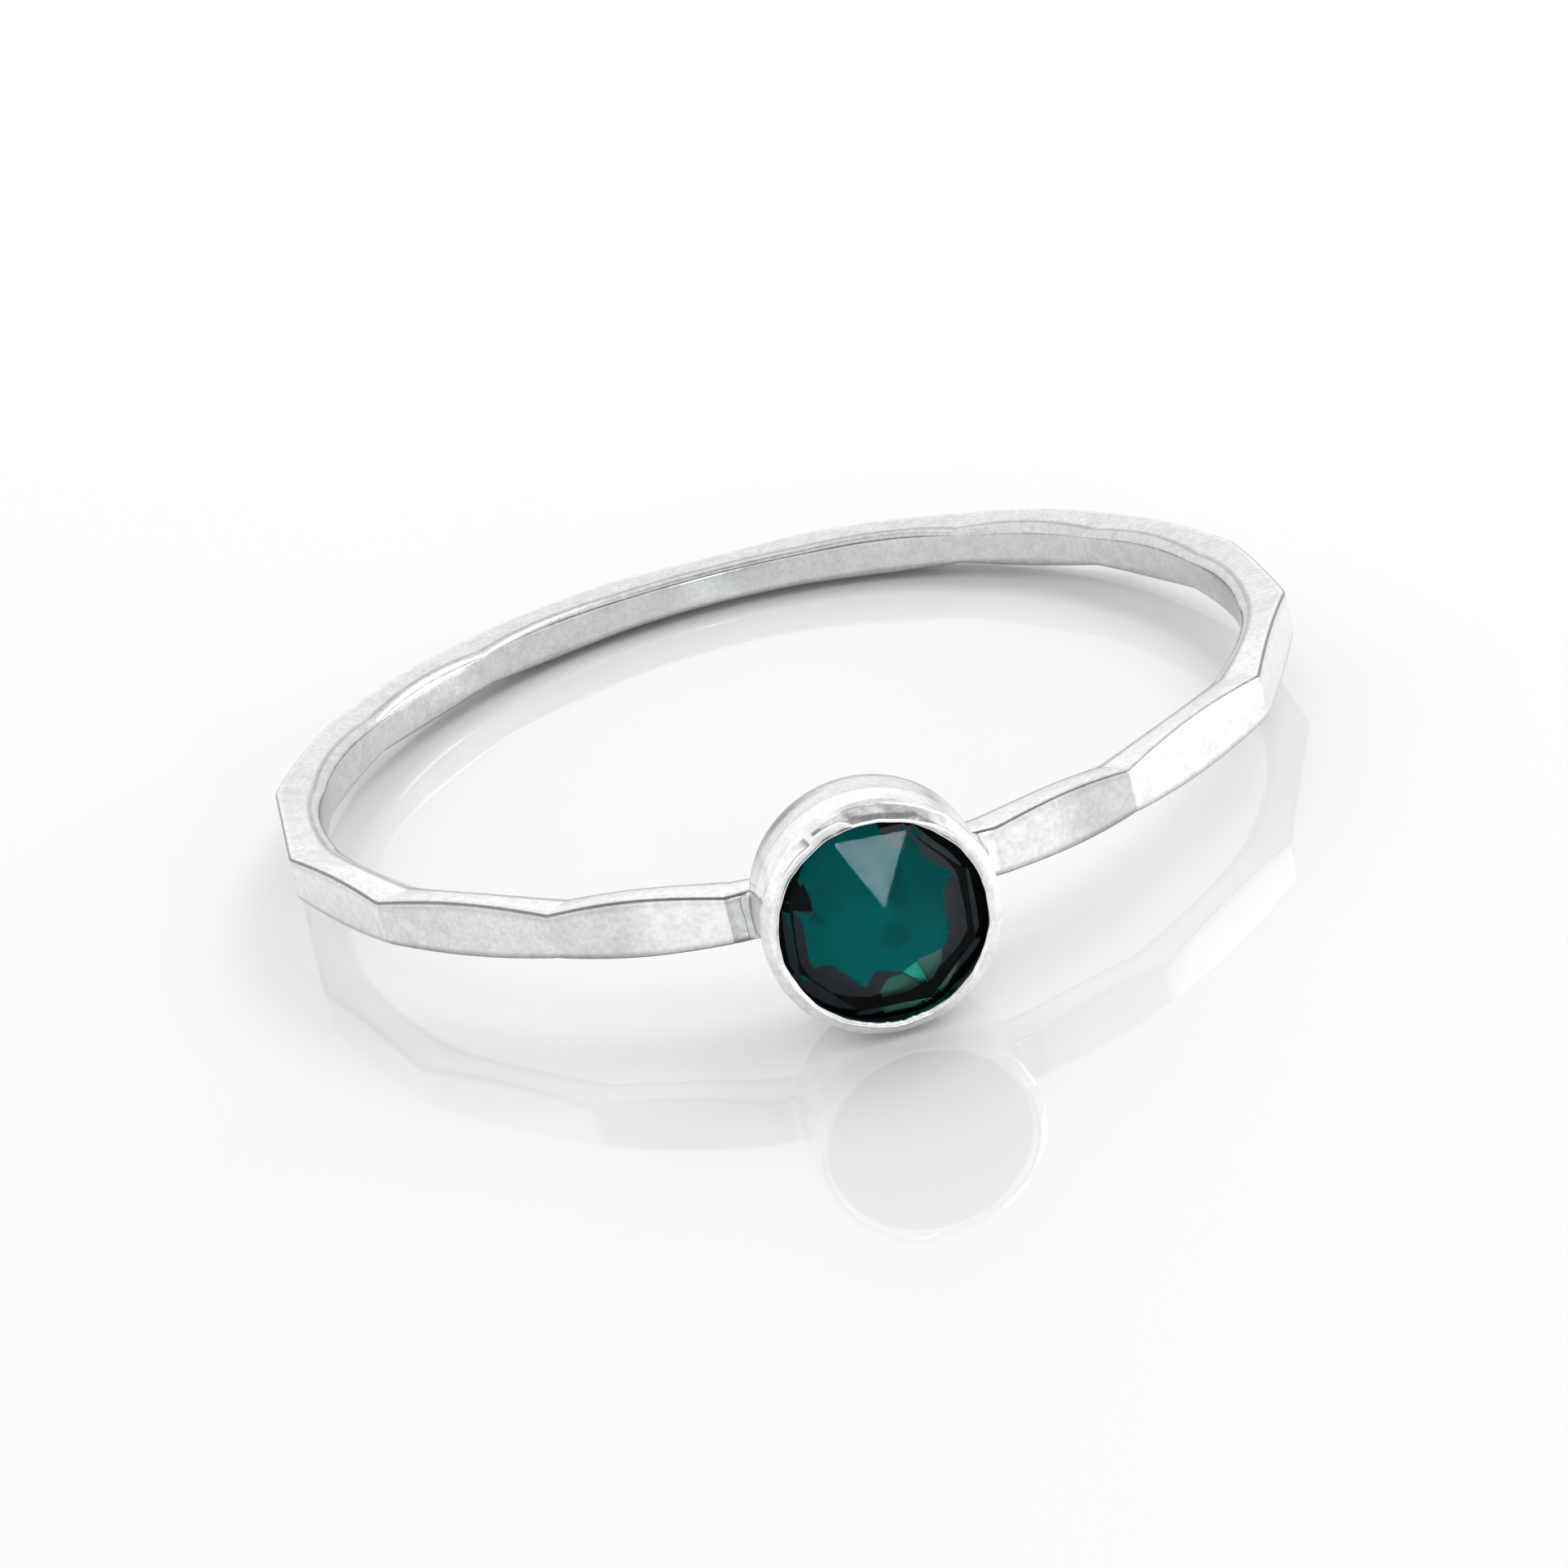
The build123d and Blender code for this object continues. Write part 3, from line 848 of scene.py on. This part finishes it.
silver = make_silver()
stone_materials = [
    make_crystal(),
    make_backing("backing", (0.068, 0.068, 0.088), (0.150, 0.135, 0.160)),
    # a painted black shadow for the girdle, the tapered back and the flat back outside the outlines
    make_backing("painted_shadow", (0.002, 0.002, 0.003), (0.004, 0.004, 0.004)),
    make_foil("foil", (0.0, 0.070, 0.072), (0.0, 0.083, 0.083)),
    # foil darkened by painted shade
    make_foil("foil_painted_shade", (0.0, 0.053, 0.055), (0.0, 0.068, 0.069)),
    # foil lit with a painted green glint
    make_foil("foil_painted_glint", (0.012, 0.200, 0.140), (0.030, 0.280, 0.200)),
    make_foil("foil_worn", (0.054, 0.112, 0.098), (0.078, 0.140, 0.120)),
    make_foil("foil_dim", (0.020, 0.050, 0.038), (0.040, 0.090, 0.066)),
]

band = make_band()
cup = make_cup()
solder = make_solder()
for piece in (band, cup, solder):
    piece.data.materials.append(silver)
stone = make_stone()
for finish in stone_materials:
    stone.data.materials.append(finish)

for piece in (band, cup, solder):
    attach(piece, "root")
    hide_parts("band_with_bezel")
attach(stone, "root")
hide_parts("stone")


# ---------------------------------------------------------------- floor, light, camera

FLOOR_HALF = 1.5  # metres
FLOOR_COLOUR = (0.88, 0.88, 0.88, 1)
FLOOR_ROUGHNESS = 0.5
FLOOR_GLOSS, FLOOR_GLOSS_ROUGHNESS = 0.9, 0.03

# The studio round the ring. A direction's height goes from 0 at the horizon to 1 overhead, and its
# frontness from 0 at the sides to 1 straight in front of the ring. Each stop gives a brightness.
SKY = [(0.0, 0.86), (0.08, 0.88), (0.16, 1.0), (0.90, 1.0), (0.98, 0.55)]  # by height
DARK_FRONT = [(0.15, 0.0), (0.55, 1.0)]  # by frontness: how much of the dark stretch there is
DARK_HEIGHT = [(0.38, 0.0), (0.50, 1.0), (0.70, 1.0), (0.88, 0.0)]  # and by height
DARKENING = 0.75
STUDIO_STRENGTH = 1.11

# Softboxes: place and size in metres, and power in watts.
KEY_PLACE, KEY_SIZE, KEY_POWER = (0.16, 0.10, 0.20), (0.16, 0.16), 0.16
RIGHT_PLACE, RIGHT_SIZE, RIGHT_POWER = (0.30, 0.0, 0.045), (0.16, 0.07), 0.13
RIGHT_TARGET = (0.0, 0.0, 0.002)


def make_floor():
    """A pale, slightly glossy table."""
    corners = [(-1, -1), (1, -1), (1, 1), (-1, 1)]
    mesh = bpy.data.meshes.new("floor")
    mesh.from_pydata([(FLOOR_HALF * x, FLOOR_HALF * y, 0) for x, y in corners], [], [(0, 1, 2, 3)])
    obj = bpy.data.objects.new("floor", mesh)
    bpy.context.scene.collection.objects.link(obj)
    mat, _, _, bsdf = material("table")
    bsdf.inputs["Base Color"].default_value = FLOOR_COLOUR
    bsdf.inputs["Roughness"].default_value = FLOOR_ROUGHNESS
    bsdf.inputs["Coat Weight"].default_value = FLOOR_GLOSS
    bsdf.inputs["Coat Roughness"].default_value = FLOOR_GLOSS_ROUGHNESS
    mesh.materials.append(mat)


def make_world():
    """White all round, with a dark stretch of sky in front of the ring for the silver's darker lines."""
    world = bpy.data.worlds.new("studio")
    bpy.context.scene.world = world
    world.use_nodes = True
    nodes, links = world.node_tree.nodes, world.node_tree.links
    nodes.clear()
    out = nodes.new("ShaderNodeOutputWorld")
    background = nodes.new("ShaderNodeBackground")
    coords = nodes.new("ShaderNodeTexCoord")
    split = nodes.new("ShaderNodeSeparateXYZ")
    links.new(coords.outputs["Generated"], split.inputs["Vector"])

    def grey_ramp(source, stops):
        """A brightness that changes with a value."""
        return colour_ramp(nodes, links, source, [(place, (value, value, value)) for place, value in stops])

    height = split.outputs["Z"]
    frontness = combine(nodes, links, "MULTIPLY", split.outputs["Y"], -1.0)
    sky = grey_ramp(height, SKY)
    dark = combine(
        nodes, links, "MULTIPLY", grey_ramp(frontness, DARK_FRONT), grey_ramp(height, DARK_HEIGHT)
    )
    keep = combine(nodes, links, "SUBTRACT", 1.0, combine(nodes, links, "MULTIPLY", dark, DARKENING))
    links.new(combine(nodes, links, "MULTIPLY", sky, keep), background.inputs["Color"])
    background.inputs["Strength"].default_value = STUDIO_STRENGTH
    links.new(background.outputs["Background"], out.inputs["Surface"])


def area(name, place, target, size, power):
    """A softbox that shines from a place at a target."""
    light = bpy.data.lights.new(name, "AREA")
    light.shape = "RECTANGLE"
    light.size, light.size_y = size
    light.energy = power
    obj = bpy.data.objects.new(name, light)
    obj.location = place
    obj.rotation_mode = "QUATERNION"
    obj.rotation_quaternion = (Vector(target) - Vector(place)).to_track_quat("-Z", "Y")
    bpy.context.scene.collection.objects.link(obj)
    return obj


GLINT_RANGE = 0.30  # metres from the stone's front
GLINT_UP, GLINT_TURN = radians(9.2), radians(6.7)  # elevation, and turn from the front towards +X
GLINT_HEIGHT = 0.021
GLINT_WIDTH = GLINT_HEIGHT * 1.4
GLINT_RADIANCE = 40.0
GLINT_COLOUR = (0.69, 0.92, 1.0)
GLINT_TARGET = Vector((0, -0.0102, 0.002))  # the stone's front


def make_glint():
    """A small bright box low in front of the ring, which only the crown's top facet throws back."""
    flat = GLINT_RANGE * cos(GLINT_UP)
    place = Vector((flat * sin(GLINT_TURN), -flat * cos(GLINT_TURN), GLINT_RANGE * sin(GLINT_UP)))
    power = GLINT_RADIANCE * pi * GLINT_HEIGHT * GLINT_WIDTH
    light = area("glint", GLINT_TARGET + place, GLINT_TARGET, (GLINT_WIDTH, GLINT_HEIGHT), power)
    light.data.color = GLINT_COLOUR
    light.visible_camera = False


# The photograph's camera, in the worn frame: it stands this many degrees left of the front and above the
# band's plane, and this many millimetres from the bore's middle. It looks this many degrees to the right
# of straight back and downwards, and is rolled about its view.
CAMERA_LEFT, CAMERA_UP, CAMERA_DISTANCE = 4.656, 19.240, 104.95
VIEW_TURN, VIEW_DROP, VIEW_ROLL = 6.429, 19.466, -12.335
AIM_RIGHT, AIM_DOWN = -0.0289, 0.0140  # slopes off that view that bring the ring to the picture's middle
SENSOR, LENS = 36.0, 130.0  # mm
NEAREST, FARTHEST = 0.001, 10.0  # metres


def make_camera():
    """The camera at the photograph's angle to the ring."""
    data = bpy.data.cameras.new("camera")
    data.sensor_width = SENSOR
    data.lens = LENS
    data.clip_start, data.clip_end = NEAREST, FARTHEST
    obj = bpy.data.objects.new("camera", data)
    bpy.context.scene.collection.objects.link(obj)
    left, up = radians(CAMERA_LEFT), radians(CAMERA_UP)
    place = CAMERA_DISTANCE * Vector((-sin(left) * cos(up), -cos(left) * cos(up), sin(up)))
    turn, drop, roll = radians(VIEW_TURN), radians(VIEW_DROP), radians(VIEW_ROLL)
    view = Vector((sin(turn) * cos(drop), cos(turn) * cos(drop), -sin(drop)))
    level = Vector((cos(turn), -sin(turn), 0))
    right = level * cos(roll) + level.cross(view) * sin(roll)
    down = view.cross(right)
    forward = (view + AIM_RIGHT * right + AIM_DOWN * down).normalized()
    right = (right - right.dot(forward) * forward).normalized()
    axes = Matrix((right, right.cross(forward), -forward)).transposed().to_4x4()
    obj.matrix_world = Matrix.Translation(WORN_TO_ROW @ place) @ TIP @ axes
    bpy.context.scene.camera = obj


make_floor()
make_world()
area("key", KEY_PLACE, (0.0, 0.0, 0.0), KEY_SIZE, KEY_POWER)
make_glint()
area("right", RIGHT_PLACE, RIGHT_TARGET, RIGHT_SIZE, RIGHT_POWER).visible_camera = False
make_camera()
bpy.context.scene.view_settings.view_transform = "Standard"
